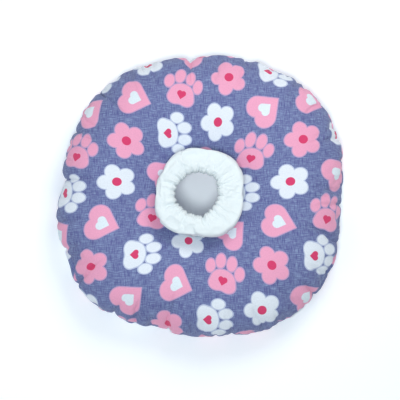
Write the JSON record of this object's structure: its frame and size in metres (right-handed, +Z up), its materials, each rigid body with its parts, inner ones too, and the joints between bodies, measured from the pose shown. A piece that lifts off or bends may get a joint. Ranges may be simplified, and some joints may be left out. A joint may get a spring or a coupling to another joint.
{
  "type": "cat recovery collar",
  "caption": "Soft stuffed recovery collar for a cat: a padded printed cotton ring round a gathered white neck cuff drawn in by elastic.",
  "frame": {"origin": "middle of the footprint, on the surface that the collar lies on", "axes": "+Z up out of the neck opening, +X across the widest way, +Y away from a person looking down at it"},
  "size_m": [0.2996, 0.294, 0.0746],
  "materials": {
    "printed_cotton": "blue chambray printed in pink and white",
    "fibre_stuffing": "loose polyester fibre",
    "white_cotton": "fine plain weave",
    "flat_elastic": "braided flat elastic"
  },
  "bodies": {
    "root": {"top_panel": "printed_cotton", "under_panel": "printed_cotton", "stuffing": "fibre_stuffing", "neck_cuff": "white_cotton", "cuff_elastic": "flat_elastic"}
  },
  "joints": []
}
